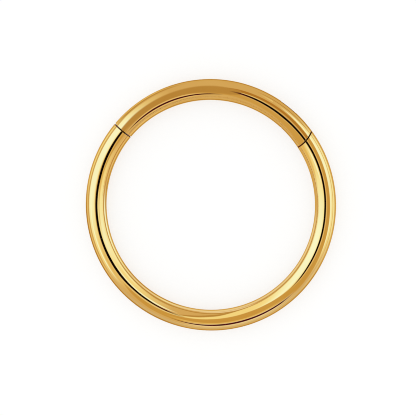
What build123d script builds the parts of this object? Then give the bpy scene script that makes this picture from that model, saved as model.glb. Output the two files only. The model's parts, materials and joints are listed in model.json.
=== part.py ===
"""Hinged segment ring: a round wire hoop with a segment that swings open in the hoop's own plane.

The hoop lies flat. Its axis is +Z, its lowest line is on Z = 0 and its centre is over the origin.
Angles run anticlockwise from +X, seen from above. Lengths are in millimetres, angles in degrees.

Four pieces make it up. ring_body is the long fixed arc of wire. hinged_segment is the short arc
that opens. hinge_pin joins them. latch_peg is the stub on the segment's free end that slides into
a socket in the body's end when the ring is shut.
"""

import os
from math import cos, degrees, radians, sin, sqrt

from build123d import *

# The hoop
inner_diameter = 12.0
wire_diameter = 1.2
latch_seam_angle = 139.55
hinge_seam_angle = 33.7
seam_gap = 0.07
edge_break = 0.03

# The hinge. The pin stands in the segment, a little behind the seam, and the seam is an arc about it.
pin_diameter = 0.32
pin_setback = 1.55
pin_inset = 0.2
pin_cover = 0.18
pin_seat_clearance = 0.01
pin_recess = 0.015
bore_clearance = 0.02
tongue_thickness = 0.3
tongue_side_clearance = 0.025
heel_radius = 0.37
heel_clearance = 0.03
opening_angle = 55.0

# The latch
peg_diameter = 0.28
peg_reach = 0.42
peg_root = 0.38
peg_outset = 0.03
peg_tip_taper = 0.07
peg_seat_clearance = 0.01
socket_clearance = 0.035
socket_end_clearance = 0.06

# Sizes that follow from these
wire_radius = wire_diameter / 2
mean_radius = inner_diameter / 2 + wire_radius
half_gap_angle = degrees(seam_gap / 2 / mean_radius)
pin_radius = pin_diameter / 2
pin_angle = hinge_seam_angle + degrees(pin_setback / mean_radius)
pin_orbit = mean_radius - pin_inset
tongue_low = wire_radius - tongue_thickness / 2
tongue_high = wire_radius + tongue_thickness / 2
cut_reach = 4 * wire_diameter + pin_setback
cut_low = -wire_diameter
cut_high = 2 * wire_diameter
mouth_overrun = peg_diameter + 2 * seam_gap


def on_hoop(radius, angle):
    """The point at that radius and angle in the hoop's plane."""
    return Vector(radius * cos(radians(angle)), radius * sin(radians(angle)), 0)


pin_centre = on_hoop(pin_orbit, pin_angle)
pin_axis = Axis(pin_centre, (0, 0, 1))
seam_centre = on_hoop(mean_radius, hinge_seam_angle)
knuckle_radius = (seam_centre - pin_centre).length - seam_gap / 2
peg_centre = on_hoop(mean_radius + peg_outset, latch_seam_angle)
peg_orbit = (peg_centre - pin_centre).length

# At the pin, the local X runs forward along the wire, to the hinge seam, and Y runs outward.
hinge_place = Pos(pin_centre.X, pin_centre.Y, 0) * Rot(Z=pin_angle - 90)


def wire_arc(start, end, radius=wire_radius):
    """Round wire bent round the hoop's axis, from one angle to the other."""
    section = Plane.XZ * Pos(mean_radius, wire_radius) * Circle(radius)
    return Rot(Z=start) * revolve(section, Axis.Z, end - start)


def at_pin(radius, low=cut_low, high=cut_high):
    """An upright cylinder round the hinge pin's axis."""
    return Pos(pin_centre.X, pin_centre.Y, low) * Cylinder(
        radius, high - low, align=(Align.CENTER, Align.CENTER, Align.MIN)
    )


def ahead_of_pin(behind=0.0, low=cut_low, high=cut_high, turned=0.0):
    """The block on the body's side of the pin. It starts a distance behind the pin's axis."""
    block = Pos(-behind, 0, low) * Box(
        cut_reach, 2 * cut_reach, high - low, align=(Align.MIN, Align.CENTER, Align.MIN)
    )
    return hinge_place * Rot(Z=turned) * block


def behind_pin():
    """The block on the segment's side of the pin."""
    block = Pos(0, 0, cut_low) * Box(
        cut_reach, 2 * cut_reach, cut_high - cut_low, align=(Align.MAX, Align.CENTER, Align.MIN)
    )
    return hinge_place * block


def peg_bar(radius, root, tip):
    """A round bar that follows the latch's own path about the pin, from its root to its tip."""
    along = (peg_centre - pin_centre).normalized()
    across = Plane(
        origin=(pin_centre.X, pin_centre.Y, wire_radius),
        x_dir=along,
        z_dir=Vector(0, 0, 1).cross(along),
    )
    section = across * Pos(peg_orbit, 0) * Circle(radius)
    root_turn = degrees(root / peg_orbit)
    tip_turn = degrees(tip / peg_orbit)
    bar = revolve(section, pin_axis, root_turn + tip_turn)
    return bar.rotate(pin_axis, -root_turn)


def end_break(angle, into):
    """What is taken off the sharp edge of the wire's square-cut end. The wire lies on the into side."""
    end_plane = Plane(
        origin=on_hoop(mean_radius, angle) + Vector(0, 0, wire_radius),
        x_dir=on_hoop(1, angle),
        z_dir=Vector(0, 0, 1),
    )
    spare = edge_break
    corner = Polyline(
        (wire_radius - edge_break - spare, -into * spare),
        (wire_radius + spare, into * (edge_break + spare)),
        (wire_radius + spare, -into * spare),
        close=True,
    )
    wire_line = Axis(end_plane.origin, end_plane.y_dir)
    return revolve(end_plane * make_face(corner), wire_line, 360)


def make_ring_body():
    """The fixed arc: a socket in its latch end, a concave hinge seam and a tongue that takes the pin."""
    latch_end = latch_seam_angle + half_gap_angle
    tongue_end = pin_angle + degrees(2 * heel_radius / pin_orbit)
    body = wire_arc(latch_end, 360 + tongue_end)
    shoulder_radius = knuckle_radius + seam_gap
    body -= at_pin(shoulder_radius, low=tongue_high)
    body -= at_pin(shoulder_radius, high=tongue_low)
    body -= behind_pin() - at_pin(heel_radius)
    body -= at_pin(pin_radius + bore_clearance)
    body -= end_break(latch_end, 1)
    body -= peg_bar(
        peg_diameter / 2 + socket_clearance, mouth_overrun, peg_reach + socket_end_clearance
    )
    return body


def make_hinged_segment():
    """The arc that opens: a forked end with a round nose over the tongue, and the latch's end."""
    latch_end = latch_seam_angle - half_gap_angle
    nose_end = hinge_seam_angle - degrees(wire_diameter / mean_radius)
    segment = wire_arc(nose_end, latch_end)
    segment -= ahead_of_pin() - at_pin(knuckle_radius)
    segment -= end_break(latch_end, -1)

    # The slot for the tongue is open inward and outward. Its far wall stops the tongue when the
    # segment has swung through the opening angle.
    slot_low = tongue_low - tongue_side_clearance
    slot_high = tongue_high + tongue_side_clearance
    segment -= ahead_of_pin(heel_clearance, slot_low, slot_high)
    segment -= ahead_of_pin(heel_clearance, slot_low, slot_high, turned=opening_angle)
    segment -= at_pin(heel_radius + heel_clearance, slot_low, slot_high)

    segment -= at_pin(pin_radius + pin_seat_clearance, high=pin_top() + pin_seat_clearance)
    segment -= peg_bar(
        peg_diameter / 2 + peg_seat_clearance, peg_root + peg_seat_clearance, mouth_overrun
    )
    return segment


def pin_top():
    """The pin is blind: it stops under a skin of metal, so that nothing of it shows from above."""
    return wire_radius + sqrt(wire_radius**2 - pin_inset**2) - pin_cover


def make_hinge_pin():
    """A plain pin, put in from below and dressed to the wire's own curve there."""
    pin = at_pin(pin_radius, high=pin_top())
    half_span = degrees(wire_diameter / mean_radius)
    dressed = wire_arc(pin_angle - half_span, pin_angle + half_span, wire_radius - pin_recess)
    return pin & dressed


def make_latch_peg():
    """A round stub, set into the segment's free end, with a tapered tip that leads it in."""
    peg_radius = peg_diameter / 2
    bar = peg_bar(peg_radius, peg_root, peg_reach - peg_tip_taper)
    turn = degrees((peg_reach - peg_tip_taper) / peg_orbit)
    along = (peg_centre - pin_centre).rotate(Axis.Z, turn)
    tip_plane = Plane(
        origin=pin_centre + along + Vector(0, 0, wire_radius),
        z_dir=Vector(0, 0, 1).cross(along),
    )
    tip = Cone(
        peg_radius,
        peg_radius - peg_tip_taper,
        peg_tip_taper,
        align=(Align.CENTER, Align.CENTER, Align.MIN),
    )
    return bar + tip_plane * tip


os.makedirs("parts", exist_ok=True)
pieces = {
    "ring_body": make_ring_body(),
    "hinged_segment": make_hinged_segment(),
    "hinge_pin": make_hinge_pin(),
    "latch_peg": make_latch_peg(),
}
for name, piece in pieces.items():
    export_step(piece, os.path.join("parts", name + ".step"))
    print(name, "volume", round(piece.volume, 4), "solids", len(piece.solids()))
print("hinge pin at", round(pin_centre.X, 4), round(pin_centre.Y, 4))
print("latch peg runs from", round(peg_orbit, 4), "mm from the pin")
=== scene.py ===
"""Looks of the hinged segment ring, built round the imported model.

Pieces are modelled in millimetres, angles in radians, and turned into metres when they are done.
A point of the wire is given by phi, its angle round the hoop from +X, and theta, its angle round
the wire: 0 faces out of the hoop, a quarter turn faces up.
"""

import json
from collections import namedtuple
from math import asin, atan2, cos, degrees, hypot, pi, radians, sin, sqrt

import bmesh
import bpy
import numpy as np
from mathutils import Matrix, Vector


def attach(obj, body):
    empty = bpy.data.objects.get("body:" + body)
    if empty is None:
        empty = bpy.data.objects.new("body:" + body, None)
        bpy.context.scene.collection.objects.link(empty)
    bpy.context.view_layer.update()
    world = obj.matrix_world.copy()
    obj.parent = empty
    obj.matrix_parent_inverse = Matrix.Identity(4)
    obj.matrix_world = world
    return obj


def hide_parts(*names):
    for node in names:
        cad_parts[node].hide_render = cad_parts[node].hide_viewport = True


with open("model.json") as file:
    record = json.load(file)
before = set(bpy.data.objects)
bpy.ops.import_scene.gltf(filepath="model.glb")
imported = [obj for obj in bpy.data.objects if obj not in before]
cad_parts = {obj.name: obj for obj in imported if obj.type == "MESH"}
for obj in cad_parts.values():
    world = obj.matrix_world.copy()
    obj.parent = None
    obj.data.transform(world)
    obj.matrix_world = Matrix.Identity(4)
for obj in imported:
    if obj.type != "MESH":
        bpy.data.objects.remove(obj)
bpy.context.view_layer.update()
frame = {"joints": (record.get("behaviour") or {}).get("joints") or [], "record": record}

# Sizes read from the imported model
MM = 0.001
wire_mount = frame["record"]["mounts"][0]
hinge = frame["joints"][0]
HOOP = hypot(*wire_mount["pos_m"][:2]) / MM
WIRE = wire_mount["dims"]["r_mm"]
PIN_X, PIN_Y = (value / MM for value in hinge["pos_m"][:2])
PIN_ORBIT = hypot(PIN_X, PIN_Y)
PIN_ANGLE = atan2(PIN_Y, PIN_X)
OPENING = radians(hinge["range_deg"][1])

# Sizes that the solids have too
LATCH_SEAM = radians(139.55)
HINGE_SEAM = radians(33.7)
SEAM_GAP = 0.07
EDGE_ROUND = 0.012
PIN_RADIUS = 0.16
PIN_TOP = 0.986
PIN_SEAT_CLEARANCE = 0.01
PIN_RECESS = 0.015
BORE_CLEARANCE = 0.02
TONGUE_THICKNESS = 0.3
TONGUE_SIDE_CLEARANCE = 0.025
HEEL_RADIUS = 0.37
HEEL_CLEARANCE = 0.03
PEG_RADIUS = 0.14
PEG_REACH = 0.42
PEG_ROOT = 0.38
PEG_OUTSET = 0.03
PEG_TAPER = 0.07
PEG_SEAT_CLEARANCE = 0.01
SOCKET_CLEARANCE = 0.035
SOCKET_END_CLEARANCE = 0.06

HALF_GAP = SEAM_GAP / 2 / HOOP
SEAM_TO_PIN = hypot(HOOP * cos(HINGE_SEAM) - PIN_X, HOOP * sin(HINGE_SEAM) - PIN_Y)
NOSE_RADIUS = SEAM_TO_PIN - SEAM_GAP / 2
SHOULDER_RADIUS = SEAM_TO_PIN + SEAM_GAP / 2
PEG_X = (HOOP + PEG_OUTSET) * cos(LATCH_SEAM) - PIN_X
PEG_Y = (HOOP + PEG_OUTSET) * sin(LATCH_SEAM) - PIN_Y
PEG_ORBIT = hypot(PEG_X, PEG_Y)
PEG_BEARING = atan2(PEG_Y, PEG_X)

# How finely the pieces are meshed
AROUND_WIRE = 112
AROUND_HOOP = 560
BODY_SHARE, SEGMENT_SHARE = 0.7, 0.3
AROUND_HOLE = 72
ALONG_SHORT_WIRE = 60
ROUND_HEEL = 48
ROUND_TIP = 7
BREAK_STEPS = 5
CAP_RINGS = 4

# Cutters and joined pieces run past what they meet. FAR is clear of the wire on every side of the pin.
# The tongue is kept a little under the wire's skin, so that the two surfaces don't coincide.
FAR = 5 * WIRE
TONGUE_ROOT = 0.15
TONGUE_UNDER_SKIN = 0.002
PEG_OVERRUN = 2.2 * PEG_RADIUS

# How the skin is told from cut faces: by its depth in the wire and by the way that it faces
SKIN_TOLERANCE = 0.0002
SKIN_ALIGNMENT = 0.9
EDGE_DEPTH = 1.05 * EDGE_ROUND
SHARP_ANGLE = radians(32)

theta = np.linspace(0, 2 * pi, AROUND_WIRE, endpoint=False)


# Solids

def new_object(name, points, faces):
    """A mesh object from points in millimetres, its faces turned to look outward."""
    mesh = bpy.data.meshes.new(name)
    mesh.from_pydata([tuple(p) for p in points], [], faces)
    shape = bmesh.new()
    shape.from_mesh(mesh)
    bmesh.ops.recalc_face_normals(shape, faces=shape.faces)
    shape.to_mesh(mesh)
    shape.free()
    obj = bpy.data.objects.new(name, mesh)
    bpy.context.scene.collection.objects.link(obj)
    return obj


def lofted(name, loops, first, last):
    """A closed solid through loops of points, with a point at the middle of each end."""
    count = len(loops[0])
    points = [first]
    for loop in loops:
        points.extend(loop)
    points.append(last)
    faces = []
    for k in range(count):
        after = (k + 1) % count
        faces.append((0, 1 + after, 1 + k))
        for row in range(len(loops) - 1):
            a, b = 1 + row * count, 1 + (row + 1) * count
            faces.append((a + k, a + after, b + after, b + k))
        end = 1 + (len(loops) - 1) * count
        faces.append((end + k, end + after, len(points) - 1))
    return new_object(name, points, faces)


def flat_end(angle):
    """A square-cut end of the wire: the same angle round the hoop at every radius."""
    return lambda rho: np.full_like(rho, angle)


def round_end(distance, turns=0):
    """An end that is an upright cylinder's wall, round the hinge pin's axis."""
    def angle(rho):
        share = (rho**2 + PIN_ORBIT**2 - distance**2) / (2 * rho * PIN_ORBIT)
        return PIN_ANGLE - np.arccos(share) + 2 * pi * turns
    return angle


def wire_solid(name, start, stop, steps, radius=WIRE, edge=EDGE_ROUND):
    """Bent wire from one end to the other, with a small rounding where its skin meets each end."""
    def loop(size, end, inset=0.0):
        rho = HOOP + size * np.cos(theta)
        angle = end(rho) + inset / rho
        return angle, rho, WIRE + size * np.sin(theta)

    def points(angle, rho, height):
        return np.column_stack((rho * np.cos(angle), rho * np.sin(angle), height))

    core = radius - edge
    shares = np.linspace(0, 1, CAP_RINGS + 1)[1:]
    turns = np.linspace(pi / 2, 0, BREAK_STEPS + 1)[1:] if edge else []
    head = [loop(core * share, start) for share in shares]
    head += [loop(core + edge * cos(t), start, edge - edge * sin(t)) for t in turns]
    tail = [loop(core * share, stop) for share in shares]
    tail += [loop(core + edge * cos(t), stop, edge * sin(t) - edge) for t in turns]
    middle = []
    for share in np.linspace(0, 1, steps + 1)[1:-1]:
        angle = (1 - share) * head[-1][0] + share * tail[-1][0]
        middle.append((angle, head[-1][1], head[-1][2]))
    loops = [points(*row) for row in head + middle + tail[::-1]]
    centre = np.array([HOOP])
    first = points(start(centre), centre, np.array([WIRE]))[0]
    last = points(stop(centre), centre, np.array([WIRE]))[0]
    return lofted(name, loops, first, last)


def peg_solid(name, sections):
    """A round bar along the latch's path about the hinge pin, through (distance, radius) pairs."""
    loops = []
    for distance, radius in sections:
        bearing = PEG_BEARING + distance / PEG_ORBIT
        reach = PEG_ORBIT + radius * np.cos(theta)
        loops.append(np.column_stack((
            PIN_X + reach * cos(bearing),
            PIN_Y + reach * sin(bearing),
            WIRE + radius * np.sin(theta),
        )))
    return lofted(name, loops, loops[0].mean(0), loops[-1].mean(0))


def hinge_prism(name, outline, low, high):
    """An upright prism at the hinge pin. Its outline's X runs along the wire to the seam, Y outward."""
    along = Vector((sin(PIN_ANGLE), -cos(PIN_ANGLE)))
    outward = Vector((cos(PIN_ANGLE), sin(PIN_ANGLE)))
    pin = Vector((PIN_X, PIN_Y))
    flat = [pin + along * x + outward * y for x, y in outline]
    count = len(flat)
    points = [(p.x, p.y, low) for p in flat] + [(p.x, p.y, high) for p in flat]
    faces = [tuple(range(count))[::-1], tuple(range(count, 2 * count))]
    faces += [(k, (k + 1) % count, count + (k + 1) % count, count + k) for k in range(count)]
    return new_object(name, points, faces)


def arc(radius, start, stop, count):
    """Points of an arc round the hinge pin, from one direction to the other."""
    return [(radius * cos(a), radius * sin(a)) for a in np.linspace(start, stop, count)]


def hinge_rod(name, radius, low, high):
    """An upright round rod at the hinge pin."""
    return hinge_prism(name, arc(radius, 0, 2 * pi, AROUND_HOLE + 1)[:-1], low, high)


def combine(piece, tool, operation):
    """Joins the tool to the piece, cuts it away, or keeps what both share. The tool is used up."""
    modifier = piece.modifiers.new("combine", "BOOLEAN")
    modifier.operation = operation
    modifier.solver = "MANIFOLD"
    modifier.object = tool
    graph = bpy.context.evaluated_depsgraph_get()
    mesh = bpy.data.meshes.new_from_object(piece.evaluated_get(graph))
    piece.modifiers.clear()
    used = piece.data
    piece.data = mesh
    bpy.data.meshes.remove(used)
    bpy.data.meshes.remove(tool.data)
    return piece


def make_ring_body():
    """The fixed arc of wire, with its tongue, the tongue's bore and the latch's socket."""
    body = wire_solid(
        "ring_body_polished",
        flat_end(LATCH_SEAM + HALF_GAP),
        round_end(SHOULDER_RADIUS, turns=1),
        int(AROUND_HOOP * BODY_SHARE),
    )
    tongue = wire_solid(
        "tongue",
        round_end(SHOULDER_RADIUS + TONGUE_ROOT),
        flat_end(PIN_ANGLE + 2 * HEEL_RADIUS / PIN_ORBIT),
        ALONG_SHORT_WIRE,
        radius=WIRE - TONGUE_UNDER_SKIN,
        edge=0,
    )
    outline = [(0, -FAR)]
    outline += arc(HEEL_RADIUS, -pi / 2, -3 * pi / 2, ROUND_HEEL)
    outline += [(0, FAR), (FAR, FAR), (FAR, -FAR)]
    half = TONGUE_THICKNESS / 2
    combine(tongue, hinge_prism("slab", outline, WIRE - half, WIRE + half), "INTERSECT")
    combine(body, tongue, "UNION")
    combine(body, hinge_rod("bore", PIN_RADIUS + BORE_CLEARANCE, -WIRE, 3 * WIRE), "DIFFERENCE")
    socket = peg_solid("socket", [
        (-PEG_OVERRUN, PEG_RADIUS + SOCKET_CLEARANCE),
        (PEG_REACH + SOCKET_END_CLEARANCE, PEG_RADIUS + SOCKET_CLEARANCE),
    ])
    combine(body, socket, "DIFFERENCE")
    return body


def make_hinged_segment():
    """The arc of wire that opens, with the tongue's slot, the pin's blind hole and the peg's seat."""
    segment = wire_solid(
        "hinged_segment_polished",
        round_end(NOSE_RADIUS),
        flat_end(LATCH_SEAM - HALF_GAP),
        int(AROUND_HOOP * SEGMENT_SHARE),
    )
    heel = HEEL_RADIUS + HEEL_CLEARANCE
    lean = asin(HEEL_CLEARANCE / heel)
    outline = [(-HEEL_CLEARANCE, -FAR)]
    outline += arc(heel, 3 * pi / 2 - lean, OPENING + pi / 2 + lean, ROUND_HEEL)
    outline += [(
        -FAR * sin(OPENING) - HEEL_CLEARANCE * cos(OPENING),
        FAR * cos(OPENING) - HEEL_CLEARANCE * sin(OPENING),
    )]
    outline += [(0, 2 * FAR), (FAR, FAR), (FAR, -FAR)]
    half = TONGUE_THICKNESS / 2 + TONGUE_SIDE_CLEARANCE
    combine(segment, hinge_prism("slot", outline, WIRE - half, WIRE + half), "DIFFERENCE")
    hole = hinge_rod("hole", PIN_RADIUS + PIN_SEAT_CLEARANCE, -WIRE, PIN_TOP + PIN_SEAT_CLEARANCE)
    combine(segment, hole, "DIFFERENCE")
    seat = peg_solid("seat", [
        (-PEG_ROOT - PEG_SEAT_CLEARANCE, PEG_RADIUS + PEG_SEAT_CLEARANCE),
        (PEG_OVERRUN, PEG_RADIUS + PEG_SEAT_CLEARANCE),
    ])
    combine(segment, seat, "DIFFERENCE")
    return segment


def make_hinge_pin():
    """The pin, its lower end dressed to the wire's curve."""
    pin = hinge_rod("hinge_pin_turned", PIN_RADIUS, -WIRE, PIN_TOP)
    span = 2 * WIRE / HOOP
    dressed = wire_solid(
        "dressed",
        flat_end(PIN_ANGLE - span),
        flat_end(PIN_ANGLE + span),
        ALONG_SHORT_WIRE,
        radius=WIRE - PIN_RECESS,
        edge=0,
    )
    return combine(pin, dressed, "INTERSECT")


def make_latch_peg():
    """The peg, with a rounded, tapered tip."""
    taper = np.linspace(0, 1, ROUND_TIP)
    tip = [
        (PEG_REACH - PEG_TAPER * (1 - t), PEG_RADIUS - PEG_TAPER * (1 - sqrt(1 - t**2)))
        for t in taper
    ]
    return peg_solid("latch_peg_turned", [(-PEG_ROOT, PEG_RADIUS)] + tip)


# Surface: which faces are the polished skin, and how light turns on them

def shade_piece(obj, skin_material, cut_material):
    """Gives a piece its materials and shading, and turns it into metres."""
    mesh = obj.data
    co = np.zeros(len(mesh.vertices) * 3)
    mesh.vertices.foreach_get("co", co)
    co = co.reshape(-1, 3)
    flat = np.hypot(co[:, 0], co[:, 1])
    out, up = flat - HOOP, co[:, 2] - WIRE
    depth = WIRE - np.hypot(out, up)
    on_skin = np.abs(depth) < SKIN_TOLERANCE
    normal = np.column_stack((out * co[:, 0] / flat, out * co[:, 1] / flat, up)) / WIRE

    mesh.materials.clear()
    mesh.materials.append(skin_material)
    mesh.materials.append(cut_material)
    mesh.polygons.foreach_set("use_smooth", [True] * len(mesh.polygons))
    mesh.set_sharp_from_angle(angle=SHARP_ANGLE)
    custom = np.zeros((len(mesh.loops), 3))
    for face in mesh.polygons:
        corners = list(face.vertices)
        facing = face.normal.dot(Vector(normal[corners[0]]))
        is_skin = on_skin[corners].all() and facing > SKIN_ALIGNMENT
        is_edge = depth[corners].max() < EDGE_DEPTH
        face.material_index = 0 if is_skin or is_edge else 1
        if is_skin:
            for loop in face.loop_indices:
                custom[loop] = normal[mesh.loops[loop].vertex_index]
    mesh.normals_split_custom_set(custom.tolist())
    mesh.transform(Matrix.Scale(MM, 4))
    return obj


# Materials

def node(tree, kind, **values):
    """A shader node with its own properties set, and its inputs by name."""
    made = tree.nodes.new(kind)
    for key, value in values.items():
        if key in made.inputs:
            made.inputs[key].default_value = value
        else:
            setattr(made, key, value)
    return made


def maths(tree, operation, a, b=None):
    """A Math node fed by sockets or plain numbers."""
    made = node(tree, "ShaderNodeMath", operation=operation)
    for socket, value in zip(made.inputs, (a, b)):
        if value is None:
            continue
        if isinstance(value, (int, float)):
            socket.default_value = value
        else:
            tree.links.new(value, socket)
    return made.outputs[0]


def length(tree, a, b):
    """How long the two sides are together, across a right angle."""
    squares = maths(tree, "ADD", maths(tree, "MULTIPLY", a, a), maths(tree, "MULTIPLY", b, b))
    return maths(tree, "SQRT", squares)


def parts(tree, place):
    """The three coordinates of a place."""
    split = node(tree, "ShaderNodeSeparateXYZ")
    tree.links.new(place, split.inputs[0])
    return split.outputs


def wire_coordinates(tree):
    """Millimetres along the wire and round it, and how far a point is from the wire's middle line,
    from its middle height and from the hinge seam's arc about the pin."""
    x, y, z = parts(tree, node(tree, "ShaderNodeTexCoord").outputs["Object"])
    flat = length(tree, x, y)
    along = maths(tree, "MULTIPLY", maths(tree, "ARCTAN2", y, x), HOOP)
    up = maths(tree, "SUBTRACT", z, WIRE * MM)
    out = maths(tree, "SUBTRACT", flat, HOOP * MM)
    around = maths(tree, "MULTIPLY", maths(tree, "ARCTAN2", up, out), WIRE)
    joined = node(tree, "ShaderNodeCombineXYZ")
    tree.links.new(along, joined.inputs[0])
    tree.links.new(around, joined.inputs[1])
    reach = maths(tree, "DIVIDE", length(tree, out, up), MM)
    from_pin = length(
        tree, maths(tree, "SUBTRACT", x, PIN_X * MM), maths(tree, "SUBTRACT", y, PIN_Y * MM)
    )
    from_arc = maths(tree, "SUBTRACT", maths(tree, "DIVIDE", from_pin, MM), SEAM_TO_PIN)
    height = maths(tree, "DIVIDE", maths(tree, "ABSOLUTE", up), MM)
    return joined.outputs[0], reach, height, maths(tree, "ABSOLUTE", from_arc)


def ramp(tree, value, none, full):
    """0 to 1 between two limits of a value, with soft ends."""
    made = node(tree, "ShaderNodeMapRange", interpolation_type="SMOOTHSTEP")
    made.inputs["From Min"].default_value = none
    made.inputs["From Max"].default_value = full
    tree.links.new(value, made.inputs["Value"])
    return made.outputs["Result"]


def blended(tree, share, under, colour):
    """One colour socket, taken over by a set colour as the share goes from 0 to 1."""
    mix = node(tree, "ShaderNodeMix", data_type="RGBA")
    tree.links.new(share, mix.inputs[0])
    tree.links.new(under, mix.inputs[6])
    mix.inputs[7].default_value = (*colour, 1.0)
    return mix.outputs[2]


# A finish: the edge tint is the colour left in light that glances off, brushing is the share by which
# the roughness varies, lines run along the wire, their density is for each millimetre and their depth
# is in millimetres, and a rim colour is painted shade: it darkens cut faces where they meet the wire's
# skin, and the tongue's faces in the hinge seam, standing for the shade inside the narrow gaps.
Finish = namedtuple("Finish", "colour edge_tint roughness brushing line_density line_depth rim")
BRIGHT_EDGE = (0.85, 0.68, 0.42)
DEEP_EDGE = (0.25, 0.07, 0.02)
# Painted shade: the dark colour that cut faces take in the narrow gaps of the seams
PAINTED_GAP_SHADE = (0.2, 0.045, 0.012)
POLISHED = Finish((0.72, 0.41, 0.105), BRIGHT_EDGE, 0.03, 0.3, 30.0, 0.00001, None)
MACHINED = Finish((0.60, 0.33, 0.08), DEEP_EDGE, 0.24, 0.25, 60.0, 0.0002, PAINTED_GAP_SHADE)
TURNED = Finish((0.66, 0.37, 0.09), BRIGHT_EDGE, 0.14, 0.3, 45.0, 0.0001, None)

# Painted shade in the gaps: the dark band along cut faces next to the wire's skin, and the dark band
# on the tongue's faces in the hinge seam, in millimetres
RIM_WIDTH, RIM_FULL = 0.2, 0.06
SEAM_SHADE, SEAM_SHADE_FULL = SEAM_GAP, 0.6 * SEAM_GAP
OFF_TONGUE, ON_TONGUE = 0.04, 0.01

# Slow drift of the colour: how large its patches are, where it starts and stops, and its deeper tone
DRIFT_SCALE = 0.35
DRIFT_START, DRIFT_STOP = 0.35, 0.65
DEEPER = (0.97, 0.94, 0.88)
LINE_STRETCH = 0.25


def gold(name, finish):
    """Gold-coloured metal: slow colour drift, fine lines along the wire, a faint uneven polish and,
    where the finish has a rim colour, painted shade in the gaps.
    """
    material = bpy.data.materials.new(name)
    material.use_nodes = True
    tree = material.node_tree
    shader = tree.nodes["Principled BSDF"]
    shader.inputs["Metallic"].default_value = 1.0
    shader.inputs["Specular Tint"].default_value = (*finish.edge_tint, 1.0)
    place, reach, height, from_arc = wire_coordinates(tree)

    drift = node(tree, "ShaderNodeTexNoise", Scale=DRIFT_SCALE, Detail=3.0)
    tree.links.new(place, drift.inputs["Vector"])
    tone = node(tree, "ShaderNodeValToRGB")
    deeper = [c * k for c, k in zip(finish.colour, DEEPER)]
    tone.color_ramp.elements[0].position = DRIFT_START
    tone.color_ramp.elements[0].color = (*deeper, 1.0)
    tone.color_ramp.elements[1].position = DRIFT_STOP
    tone.color_ramp.elements[1].color = (*finish.colour, 1.0)
    tree.links.new(drift.outputs["Fac"], tone.inputs["Fac"])
    skin = tone.outputs["Color"]
    # Painted shade: cut faces darken towards the wire's skin, and the tongue's faces darken along the
    # hinge seam's arc, standing for the shade inside the narrow gaps.
    if finish.rim:
        face = TONGUE_THICKNESS / 2
        near_skin = ramp(tree, reach, WIRE - RIM_WIDTH, WIRE - RIM_FULL)
        in_seam = ramp(tree, from_arc, SEAM_SHADE, SEAM_SHADE_FULL)
        on_tongue = ramp(tree, height, face + OFF_TONGUE, face + ON_TONGUE)
        skin = blended(tree, near_skin, skin, finish.rim)
        skin = blended(tree, maths(tree, "MULTIPLY", in_seam, on_tongue), skin, finish.rim)
    tree.links.new(skin, shader.inputs["Base Color"])

    stretch = node(tree, "ShaderNodeMapping", Scale=(LINE_STRETCH, finish.line_density, 1.0))
    tree.links.new(place, stretch.inputs["Vector"])
    lines = node(tree, "ShaderNodeTexNoise", Scale=1.0, Detail=4.0, Roughness=0.65)
    tree.links.new(stretch.outputs[0], lines.inputs["Vector"])
    spread = node(tree, "ShaderNodeMapRange")
    spread.inputs["To Min"].default_value = finish.roughness * (1 - finish.brushing)
    spread.inputs["To Max"].default_value = finish.roughness * (1 + finish.brushing)
    tree.links.new(lines.outputs["Fac"], spread.inputs["Value"])
    tree.links.new(spread.outputs["Result"], shader.inputs["Roughness"])

    bump = node(tree, "ShaderNodeBump", Strength=1.0, Distance=finish.line_depth * MM)
    tree.links.new(lines.outputs["Fac"], bump.inputs["Height"])
    tree.links.new(bump.outputs["Normal"], shader.inputs["Normal"])
    return material


TABLE_WHITE = (0.32, 0.32, 0.32, 1.0)
TABLE_GLOW = (1.0, 1.0, 0.995, 1.0)
TABLE_GLOW_STRENGTH = 0.70


def light_table():
    """A matt white surface that is also lit from below, so that shadows on it are faint."""
    material = bpy.data.materials.new("light_table")
    material.use_nodes = True
    material.cycles.emission_sampling = "NONE"
    shader = material.node_tree.nodes["Principled BSDF"]
    shader.inputs["Base Color"].default_value = TABLE_WHITE
    shader.inputs["Roughness"].default_value = 1.0
    shader.inputs["Specular IOR Level"].default_value = 0.0
    shader.inputs["Emission Color"].default_value = TABLE_GLOW
    shader.inputs["Emission Strength"].default_value = TABLE_GLOW_STRENGTH
    return material


polished = gold("polished_gold", POLISHED)
machined = gold("machined_gold", MACHINED)
turned = gold("turned_gold", TURNED)

for piece, node_name, body, slot, skin_material, cut_material in (
    (make_ring_body(), "ring_body", "ring", "gold", polished, machined),
    (make_hinged_segment(), "hinged_segment", "segment", "gold", polished, machined),
    (make_hinge_pin(), "hinge_pin", "segment", "pin_gold", turned, turned),
    (make_latch_peg(), "latch_peg", "segment", "peg_gold", turned, turned),
):
    shade_piece(piece, skin_material, cut_material)
    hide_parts(node_name)
    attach(piece, body)


# Camera

# How large the hoop's middle line is in the photograph, where its centre falls, and how far and which
# way the view leans from the hoop's axis
HOOP_PIXELS = 115.45
PIXEL = HOOP / HOOP_PIXELS
FRAME_PIXELS = 416
CENTRE_COLUMN, CENTRE_ROW = 209.95, 205.17
LENS, SENSOR = 150.0, 36.0
VIEW_LEAN = radians(7.3)
VIEW_LEAN_TOWARDS = radians(22.0)
NEAR_CLIP, FAR_CLIP = 0.005, 10.0


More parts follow.
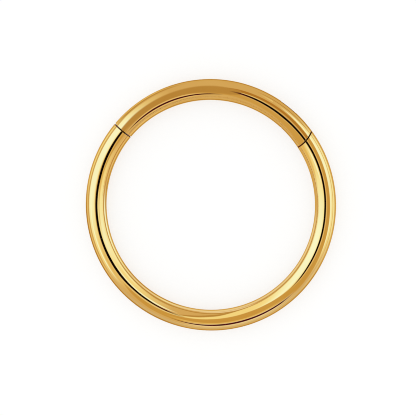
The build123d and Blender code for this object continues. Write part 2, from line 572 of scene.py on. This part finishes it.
def make_camera():
    """A long lens over the hoop, so that the hoop's centre falls on the named pixel."""
    data = bpy.data.cameras.new("camera")
    data.lens, data.sensor_width = LENS, SENSOR
    data.clip_start, data.clip_end = NEAR_CLIP, FAR_CLIP
    camera = bpy.data.objects.new("camera", data)
    bpy.context.scene.collection.objects.link(camera)
    lean = sin(VIEW_LEAN)
    back = Vector((lean * cos(VIEW_LEAN_TOWARDS), lean * sin(VIEW_LEAN_TOWARDS), cos(VIEW_LEAN)))
    right = Vector((0, 1, 0)).cross(back).normalized()
    up = back.cross(right)
    half = FRAME_PIXELS / 2
    aim = Vector((0, 0, WIRE)) + PIXEL * ((half - CENTRE_COLUMN) * right + (CENTRE_ROW - half) * up)
    distance = FRAME_PIXELS * PIXEL * LENS / SENSOR
    spot = (aim + back * distance) * MM
    turn = Matrix((right, up, back)).transposed().to_4x4()
    camera.matrix_world = Matrix.Translation(spot) @ turn
    bpy.context.scene.camera = camera
    return spot / MM


eye = make_camera()


# Floor, room and lights

def smooth(x):
    """0 to 1 with soft ends."""
    x = min(max(x, 0.0), 1.0)
    return x * x * (3 - 2 * x)


def hide_from_all_but_reflections(obj):
    """The object shows in reflections alone: it isn't seen, casts no shadow and lights no floor."""
    obj.visible_camera = False
    obj.visible_diffuse = False
    obj.visible_shadow = False
    obj.visible_transmission = False
    obj.visible_volume_scatter = False


def flat_square(name, half, height):
    """A level square about the hoop's axis, at a height, in millimetres."""
    mesh = bpy.data.meshes.new(name)
    corners = [(-half, -half), (half, -half), (half, half), (-half, half)]
    mesh.from_pydata([(x * MM, y * MM, height * MM) for x, y in corners], [], [(0, 1, 2, 3)])
    square = bpy.data.objects.new(name, mesh)
    bpy.context.scene.collection.objects.link(square)
    return square


FLOOR_HALF = 1500.0


def make_floor():
    """The pale floor that the ring lies on."""
    floor = flat_square("floor", FLOOR_HALF, 0.0)
    floor.data.materials.append(light_table())


def make_world():
    """Even white light from all round."""
    world = bpy.data.worlds.new("room")
    bpy.context.scene.world = world
    world.use_nodes = True
    background = world.node_tree.nodes["Background"]
    background.inputs["Color"].default_value = (1.0, 1.0, 1.0, 1.0)
    background.inputs["Strength"].default_value = 1.0


# Light colours, as shares of white. They were worked out from colours that the photographed gold shows.
# The bright ones are bluish because gold takes blue away.
PALE = (1.34, 2.26, 5.2)
BRIGHT = (1.31, 1.95, 3.2)
SUNNY = (1.28, 1.66, 2.1)
GLOW = (1.18, 1.50, 2.7)
CREAM = (1.06, 1.26, 1.8)
WARM = (1.12, 1.22, 1.40)
GILT = (1.07, 1.13, 0.97)
FROST = (0.91, 1.02, 1.42)
WHITE = (0.93, 0.94, 0.96)
TAN = (0.86, 0.79, 0.55)
HONEY = (0.83, 0.73, 0.44)
BROWN = (0.68, 0.58, 0.38)
AMBER = (0.63, 0.44, 0.18)
BLACK = (0.006, 0.003, 0.003)
DARK_RED = (0.10, 0.012, 0.06)

# Lit parts of the tent and of its ground sheet, set for the photograph's angle. Angles are in degrees:
# the middle azimuth and the half width. Low and high are tilts from the zenith on the tent, and
# millimetres from the hoop's axis on the ground sheet. The last two say how softly a panel ends to its
# sides and at its low and high ends.
Panel = namedtuple("Panel", "colour azimuth half low high soft_side soft_end")
TENT_PANELS = (
    Panel(SUNNY, 152, 62, 8, 78, 12, 7),
    Panel(BRIGHT, 165.5, 32.5, 7, 78, 8, 7),
    Panel(PALE, 164, 21, 15, 72, 12, 9),
    Panel(SUNNY, 10, 43, 20, 90, 14, 8),
    Panel(BRIGHT, 14, 28, 26, 86, 12, 8),
    Panel(PALE, 20, 12, 36, 84, 12, 10),
    Panel(BROWN, 170, 38, 86, 92, 8, 2),
    Panel(FROST, -87, 58, 76, 100, 12, 5),
)
GROUND_PANELS = (
    Panel(FROST, -85, 55, 9.5, 500, 12, 0.7),
    Panel(CREAM, -30, 14, 9.0, 20, 8, 0.5),
    Panel(BRIGHT, 10, 28, 8.8, 17, 12, 0.4),
    Panel(SUNNY, 155, 22, 9.3, 60, 10, 0.4),
    Panel(WARM, -165, 22, 9.5, 60, 10, 0.4),
    Panel(BROWN, 125, 16, 9.5, 40, 6, 0.3),
    Panel(BROWN, -145, 38, 7.5, 9.4, 8, 0.15),
    Panel(BROWN, -70, 42, 7.7, 8.3, 8, 0.12),
    Panel(BROWN, 74, 37, 7.65, 8.2, 6, 0.1),
    Panel(WARM, 127, 13, 8.1, 8.85, 6, 0.12),
    Panel(BROWN, 112, 75, 4.9, 5.42, 8, 0.12),
    Panel(WARM, 142, 24, 3.0, 4.95, 8, 0.3),
    Panel(BRIGHT, -104, 20, 3.4, 5.05, 8, 0.3),
    Panel(GLOW, -134, 14, 3.4, 5.05, 8, 0.3),
    Panel(BRIGHT, -156, 12, 3.4, 5.05, 8, 0.3),
    Panel(PALE, -170, 12, 3.4, 5.05, 8, 0.3),
    Panel(GLOW, -61, 54, 2.8, 5.15, 8, 0.3),
    Panel(BROWN, -128, 20, 5.3, 5.68, 6, 0.1),
)
TENT_RADIUS = 300.0
TENT_SEGMENTS, TENT_RINGS = 64, 32
SHEET_HEIGHT = 0.01


def panelled_glow(name, panels, measured):
    """An even white glow with soft panels of other light, placed by azimuth and by a measure."""
    material = bpy.data.materials.new(name)
    material.use_nodes = True
    material.cycles.emission_sampling = "NONE"
    tree = material.node_tree
    tree.nodes.clear()
    place = node(tree, "ShaderNodeTexCoord").outputs["Object"]
    reached = measured(tree, *parts(tree, place))
    colour = node(tree, "ShaderNodeRGB").outputs[0]
    colour.default_value = (*WHITE, 1.0)
    for panel in panels:
        turn = node(tree, "ShaderNodeVectorRotate", rotation_type="Z_AXIS")
        turn.inputs["Angle"].default_value = -radians(panel.azimuth)
        tree.links.new(place, turn.inputs["Vector"])
        x, y, _ = parts(tree, turn.outputs[0])
        side = maths(tree, "ABSOLUTE", maths(tree, "ARCTAN2", y, x))
        half, soft = radians(panel.half), radians(panel.soft_side)
        inside = ramp(tree, side, half + soft, half - soft)
        above = ramp(tree, reached, panel.low - panel.soft_end, panel.low + panel.soft_end)
        below = ramp(tree, reached, panel.high + panel.soft_end, panel.high - panel.soft_end)
        share = maths(tree, "MULTIPLY", inside, maths(tree, "MULTIPLY", above, below))
        colour = blended(tree, share, colour, panel.colour)
    emission = node(tree, "ShaderNodeEmission")
    tree.links.new(colour, emission.inputs["Color"])
    output = node(tree, "ShaderNodeOutputMaterial")
    tree.links.new(emission.outputs[0], output.inputs["Surface"])
    return material


def make_tent():
    """A round tent with lit panels, seen in the metal's reflections."""
    def tilt(tree, x, y, z):
        return maths(tree, "MULTIPLY", maths(tree, "ARCTAN2", length(tree, x, y), z), degrees(1))

    bpy.ops.mesh.primitive_uv_sphere_add(
        segments=TENT_SEGMENTS,
        ring_count=TENT_RINGS,
        radius=TENT_RADIUS * MM,
        location=(0, 0, WIRE * MM),
    )
    tent = bpy.context.object
    tent.name = "light_tent"
    tent.data.materials.append(panelled_glow("tent_light", TENT_PANELS, tilt))
    hide_from_all_but_reflections(tent)


def make_ground_sheet():
    """The tent's own floor, also seen in reflections alone. The white floor under it is what shows."""
    def from_axis(tree, x, y, z):
        return maths(tree, "DIVIDE", length(tree, x, y), MM)

    sheet = flat_square("tent_ground", TENT_RADIUS, SHEET_HEIGHT)
    sheet.data.materials.append(panelled_glow("ground_light", GROUND_PANELS, from_axis))
    hide_from_all_but_reflections(sheet)


# Narrow cards, light or dark, that follow the wire at a distance in millimetres. A nearer card lies over
# a farther one. They are aimed: each stands where the wire mirrors it to the camera as its image says,
# and the images follow the streaks of the photograph. From other angles they show as they happen to.
# A row of an image has phi in degrees, then the middle of the image across the wire and its half width
# there, where -1 is the wire's inner outline, 0 the line that faces the camera and 1 the outer outline.
# It fades over soft_ends, in degrees, and soft_sides. A card is clear from behind, as no real one is.
Card = namedtuple("Card", "name colour distance soft_ends soft_sides image")
CARDS = (
    Card("crest_left", BLACK, 2.5, 0.15, 0.012, (
        (139.25, -0.015, 0.095), (154, -0.04, 0.11), (166, -0.055, 0.105), (180, -0.02, 0.105),
        (194, -0.005, 0.105), (206, -0.015, 0.11), (218, -0.02, 0.11), (228, -0.05, 0.08),
        (238, -0.055, 0.075), (246, -0.035, 0.0),
    )),
    Card("crest_left_tip", DARK_RED, 2.55, 10.0, 0.02, (
        (222, -0.03, 0.06), (236, -0.055, 0.07), (247, -0.03, 0.06), (258, 0.01, 0.045),
    )),
    Card("crest_right", BLACK, 2.5, 8.0, 0.012, (
        (-45, 0.04, 0.035), (-36, 0.01, 0.055), (-30, 0.0, 0.07), (-16, 0.0, 0.08),
        (-2, -0.03, 0.085), (5, -0.015, 0.085), (28, 0.0, 0.09), (33, -0.02, 0.09),
        (40, -0.06, 0.09), (50, -0.095, 0.095), (60, -0.075, 0.085), (68, -0.04, 0.065),
        (74, -0.015, 0.05),
    )),
    Card("crest_right_tip", DARK_RED, 2.55, 6.0, 0.02, (
        (56, -0.085, 0.07), (66, -0.05, 0.08), (74, -0.015, 0.07), (80, 0.008, 0.03),
    )),
    Card("crest_line", WARM, 2.55, 6.0, 0.03, (
        (-46, 0.07, 0.01), (-38, 0.12, 0.025), (-30, 0.13, 0.03), (-16, 0.135, 0.03), (-2, 0.1, 0.02),
        (5, 0.11, 0.02), (28, 0.13, 0.02), (33.9, 0.11, 0.02),
    )),
    Card("crest_thread", PALE, 2.55, 8.0, 0.03, (
        (9, -0.2, 0.01), (18, -0.22, 0.05), (33.3, -0.22, 0.06),
    )),
    Card("segment_line", DARK_RED, 2.5, 8.0, 0.012, (
        (82, -0.41, 0.03), (90, -0.41, 0.045), (96, -0.4, 0.055), (108, -0.39, 0.073),
        (120, -0.395, 0.078), (128, -0.415, 0.062), (134, -0.43, 0.045), (139, -0.44, 0.035),
    )),
    Card("segment_line_halo", WARM, 2.6, 10.0, 0.03, (
        (90, -0.4, 0.1), (104, -0.385, 0.16), (120, -0.385, 0.165), (128, -0.4, 0.13),
        (138, -0.44, 0.07),
    )),
    Card("lower_line", DARK_RED, 2.5, 8.0, 0.012, (
        (-110, 0.475, 0.005), (-103, 0.485, 0.025), (-96, 0.495, 0.05), (-84, 0.495, 0.078),
        (-72, 0.48, 0.08), (-60, 0.485, 0.07), (-52, 0.495, 0.06), (-45, 0.5, 0.04),
    )),
    Card("lower_line_halo", GLOW, 2.6, 10.0, 0.03, (
        (-104, 0.5, 0.08), (-84, 0.51, 0.13), (-64, 0.5, 0.13), (-44, 0.5, 0.08),
    )),
    Card("segment_shade", BROWN, 2.75, 0.15, 0.08, (
        (74, 0.05, 0.2), (79, -0.02, 0.3), (86, 0.0, 0.34), (94, 0.06, 0.3), (110, 0.05, 0.28),
        (130, 0.01, 0.27), (139.4, -0.03, 0.24),
    )),
    Card("segment_tan", TAN, 2.9, 0.15, 0.06, (
        (33.45, -0.42, 0.3), (40, -0.43, 0.27), (48, -0.44, 0.19), (56, -0.42, 0.14), (66, -0.35, 0.15),
        (76, -0.27, 0.14), (86, -0.27, 0.13), (96, -0.25, 0.08), (104, -0.2, -0.05),
    )),
    Card("segment_amber", AMBER, 2.75, 0.15, 0.03, (
        (34.1, 0.265, 0.13), (45, 0.25, 0.12), (55, 0.23, 0.1), (65, 0.225, 0.1), (76, 0.21, 0.12),
        (84, 0.15, 0.1),
    )),
    Card("segment_white", WHITE, 3.0, 26.0, 0.08, (
        (36, 0.5, 0.25), (135, 0.5, 0.25),
    )),
    Card("segment_gleam", SUNNY, 2.9, 8.0, 0.05, (
        (30, 0.5, 0.06), (50, 0.5, 0.055), (65, 0.54, 0.03),
    )),
    Card("body_honey", HONEY, 2.75, 0.15, 0.03, (
        (-140, 0.2, -0.03), (-132, 0.28, 0.12), (-120, 0.33, 0.18), (-110, 0.31, 0.19),
        (-100, 0.26, 0.24), (-90, 0.21, 0.29), (-80, 0.18, 0.32), (-70, 0.16, 0.34),
        (-60, 0.175, 0.325), (-50, 0.23, 0.29), (-45, 0.255, 0.27), (-40, 0.295, 0.245),
        (-30, 0.315, 0.205), (-20, 0.305, 0.175), (-10, 0.295, 0.152), (0, 0.287, 0.137),
        (34.1, 0.287, 0.137),
    )),
    Card("lower_gilt", GILT, 2.8, 14.0, 0.08, (
        (-168, 0.28, 0.08), (-150, 0.27, 0.1), (-132, 0.25, 0.12),
    )),
    Card("lower_edge", BROWN, 2.6, 4.0, 0.04, (
        (-107, -0.03, 0.03), (-100, -0.19, 0.07), (-95, -0.28, 0.08), (-90, -0.38, 0.085),
        (-85, -0.44, 0.085), (-80, -0.53, 0.06), (-75, -0.59, 0.035), (-68, -0.64, 0.02),
    )),
    Card("lower_white", WHITE, 2.9, 3.0, 0.04, (
        (-112, -0.34, 0.33), (-104, -0.4, 0.28), (-95, -0.5, 0.2), (-86, -0.6, 0.1), (-80, -0.62, 0.05),
    )),
    Card("lower_sunny", SUNNY, 3.0, 30.0, 0.06, (
        (-170, -0.37, 0.25), (-107, -0.35, 0.27),
    )),
    Card("lower_thread", PALE, 2.75, 8.0, 0.04, (
        (-150, -0.19, 0.02), (-140, -0.19, 0.04), (-120, -0.19, 0.05), (-106, -0.19, 0.02),
    )),
    Card("lower_shine", GILT, 2.6, 10.0, 0.03, (
        (-112, 0.33, 0.05), (-50, 0.33, 0.06),
    )),
    Card("seam_warm", GILT, 2.9, 0.15, 0.08, (
        (4, -0.62, -0.07), (20, -0.57, 0.07), (33.3, -0.55, 0.14),
    )),
    Card("left_crest_line", GILT, 2.6, 8.0, 0.03, (
        (134, -0.18, 0.02), (150, -0.2, 0.03), (168, -0.2, 0.03), (178, -0.19, 0.02),
    )),
    Card("left_gilt", GILT, 2.8, 8.0, 0.06, (
        (158, -0.28, 0.03), (170, -0.28, 0.055), (182, -0.26, 0.035), (196, -0.24, 0.02),
    )),
    Card("left_honey", HONEY, 2.75, 5.0, 0.05, (
        (137, -0.26, 0.13), (160, -0.22, 0.07), (174, -0.16, 0.02),
    )),
    Card("segment_wall", WHITE, 2.55, 8.0, 0.03, (
        (38, -0.69, 0.03), (134, -0.69, 0.03),
    )),
    Card("left_wall_warm", WARM, 2.65, 6.0, 0.04, (
        (136, -0.6, 0.03), (150, -0.59, 0.05), (166, -0.6, 0.04), (174, -0.6, 0.03),
    )),
    Card("left_wall_pale", BRIGHT, 2.55, 8.0, 0.04, (
        (168, -0.6, 0.02), (182, -0.59, 0.05), (205, -0.57, 0.08), (222, -0.55, 0.07),
        (232, -0.55, 0.03),
    )),
    Card("left_rim_inner", BROWN, 2.5, 6.0, 0.012, (
        (138, -0.7, 0.025), (178, -0.71, 0.02), (212, -0.71, 0.02), (230, -0.69, 0.04),
        (240, -0.655, 0.055), (255, -0.65, 0.035), (264, -0.62, 0.035), (276, -0.61, 0.035),
        (287, -0.61, 0.01),
    )),
    Card("lower_glow_inner", GLOW, 2.55, 6.0, 0.03, (
        (-96, -0.71, 0.02), (-84, -0.7, 0.04), (-72, -0.7, 0.04), (-62, -0.7, 0.01),
    )),
    Card("right_rim_inner", BROWN, 2.5, 6.0, 0.012, (
        (294, -0.69, 0.02), (310, -0.71, 0.025), (336, -0.71, 0.02),
    )),
    Card("left_line_outer", WHITE, 2.5, 6.0, 0.012, (
        (133, 0.69, 0.055), (148, 0.69, 0.05), (165, 0.7, 0.03), (215, 0.71, 0.03),
    )),
    Card("left_thread", PALE, 2.6, 12.0, 0.04, (
        (162, 0.49, 0.04), (222, 0.49, 0.04),
    )),
    Card("lower_line_thread", GLOW, 2.55, 8.0, 0.02, (
        (-104, 0.61, 0.01), (-92, 0.61, 0.025), (-70, 0.61, 0.025), (-54, 0.6, 0.01),
    )),
    Card("lower_glow_outer", CREAM, 2.75, 8.0, 0.03, (
        (-110, 0.69, 0.01), (-90, 0.69, 0.05), (-60, 0.69, 0.05), (-42, 0.72, 0.01),
    )),
    Card("right_thread", PALE, 2.6, 8.0, 0.04, (
        (-24, 0.51, 0.02), (0, 0.5, 0.04), (40, 0.49, 0.045), (54, 0.48, 0.03),
    )),
    Card("segment_rim", BROWN, 2.5, 5.0, 0.012, (
        (36, 0.7, 0.03), (44, 0.68, 0.035), (52, 0.68, 0.035), (68, 0.66, 0.015),
    )),
)
CARD_COLUMNS = 120
CARD_ROWS = 25


def mirrored_place(phi, across, distance):
    """The place, so far from the wire, whose mirror image the camera sees at that point of it."""
    outward = Vector((cos(phi), sin(phi), 0))
    middle = HOOP * outward + Vector((0, 0, WIRE))
    to_eye = eye - middle
    turn = asin(across) + atan2(to_eye.dot(outward), to_eye.z)
    normal = sin(turn) * outward + Vector((0, 0, cos(turn)))
    point = middle + WIRE * normal
    sight = (point - eye).normalized()
    return point + distance * (sight - 2 * sight.dot(normal) * normal)


def make_card(card):
    """A thin glowing card that fades at its edges. Its lit side faces the wire."""
    image = np.array(card.image)
    start, stop = image[0, 0], image[-1, 0]
    angles = np.linspace(start + card.soft_ends, stop - card.soft_ends, CARD_COLUMNS - 1)
    shares = np.linspace(-1, 1, CARD_ROWS)
    points, fades, faces = [], [], []
    for angle in [start, *angles, stop]:
        middle = np.interp(angle, image[:, 0], image[:, 1])
        half = np.interp(angle, image[:, 0], image[:, 2])
        reach = half + card.soft_sides
        ends = smooth(min(angle - start, stop - angle) / card.soft_ends)
        for share in shares:
            place = mirrored_place(radians(angle), float(middle + share * reach), card.distance)
            points.append(tuple(place * MM))
            fades.append(ends * smooth((1 - abs(share)) * reach / (2 * card.soft_sides)))
    for column in range(CARD_COLUMNS):
        for row in range(CARD_ROWS - 1):
            a = column * CARD_ROWS + row
            faces.append((a, a + CARD_ROWS, a + CARD_ROWS + 1, a + 1))
    mesh = bpy.data.meshes.new(card.name)
    mesh.from_pydata(points, [], faces)
    mesh.attributes.new("fade", "FLOAT", "POINT").data.foreach_set("value", fades)
    mesh.materials.append(fading_glow(card.name, card.colour))
    made = bpy.data.objects.new(card.name, mesh)
    bpy.context.scene.collection.objects.link(made)
    hide_from_all_but_reflections(made)


def fading_glow(name, colour):
    """A light that is as strong as the mesh's fade attribute says, and clear from behind."""
    material = bpy.data.materials.new(name)
    material.use_nodes = True
    material.cycles.emission_sampling = "NONE"
    tree = material.node_tree
    tree.nodes.clear()
    share = node(tree, "ShaderNodeAttribute", attribute_name="fade").outputs["Fac"]
    behind = node(tree, "ShaderNodeNewGeometry").outputs["Backfacing"]
    clear = node(tree, "ShaderNodeBsdfTransparent")
    glow = node(tree, "ShaderNodeEmission", Color=(*colour, 1.0))
    mix = node(tree, "ShaderNodeMixShader")
    in_front = maths(tree, "SUBTRACT", 1.0, behind)
    tree.links.new(maths(tree, "MULTIPLY", share, in_front), mix.inputs[0])
    tree.links.new(clear.outputs[0], mix.inputs[1])
    tree.links.new(glow.outputs[0], mix.inputs[2])
    output = node(tree, "ShaderNodeOutputMaterial")
    tree.links.new(mix.outputs[0], output.inputs["Surface"])
    return material


make_floor()
make_world()
make_tent()
make_ground_sheet()
for card in CARDS:
    make_card(card)

PIXEL_FILTER = 1.0
bpy.context.scene.view_settings.view_transform = "Standard"
bpy.context.scene.cycles.filter_width = PIXEL_FILTER
